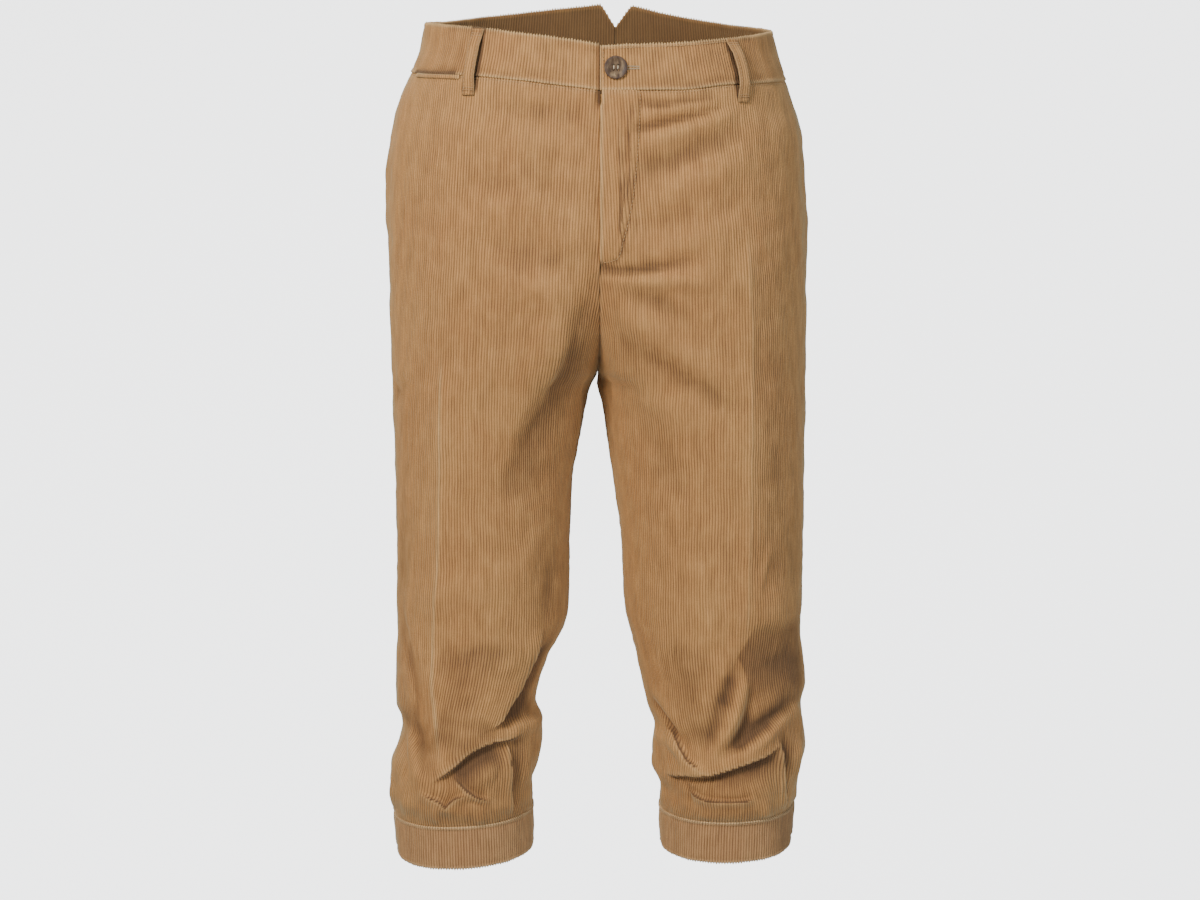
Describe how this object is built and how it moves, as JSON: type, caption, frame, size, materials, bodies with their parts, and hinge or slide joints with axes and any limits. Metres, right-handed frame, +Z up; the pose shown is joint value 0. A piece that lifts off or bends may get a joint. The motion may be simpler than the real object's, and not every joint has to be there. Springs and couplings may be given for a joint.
{
  "type": "knee breeches",
  "caption": "Corduroy knee breeches in hollow worn form: fly front, waistband with belt loops and notched back, legs gathered into bands below the knee.",
  "frame": {"origin": "centre of the waist opening, level with the front top edge of the waistband", "axes": "+X towards the wearer's left, the front faces -Y, +Z up along the body"},
  "size_m": [0.379, 0.276, 0.7663],
  "materials": {
    "corduroy": "tan corduroy, wales down the legs, soft nap",
    "button": "mottled brown, imitation horn"
  },
  "bodies": {
    "root": {"front_right": "corduroy", "front_left": "corduroy", "back_right": "corduroy", "back_left": "corduroy", "waistband_right": "corduroy", "waistband_left": "corduroy", "fly_underlap": "corduroy", "coin_pocket_welt": "corduroy", "belt_loop_front_right": "corduroy", "belt_loop_front_left": "corduroy", "belt_loop_back_right": "corduroy", "belt_loop_back_left": "corduroy", "knee_band_right": "corduroy", "knee_band_left": "corduroy", "waist_button": "button", "knee_button_right": "button", "knee_button_left": "button"}
  },
  "joints": []
}
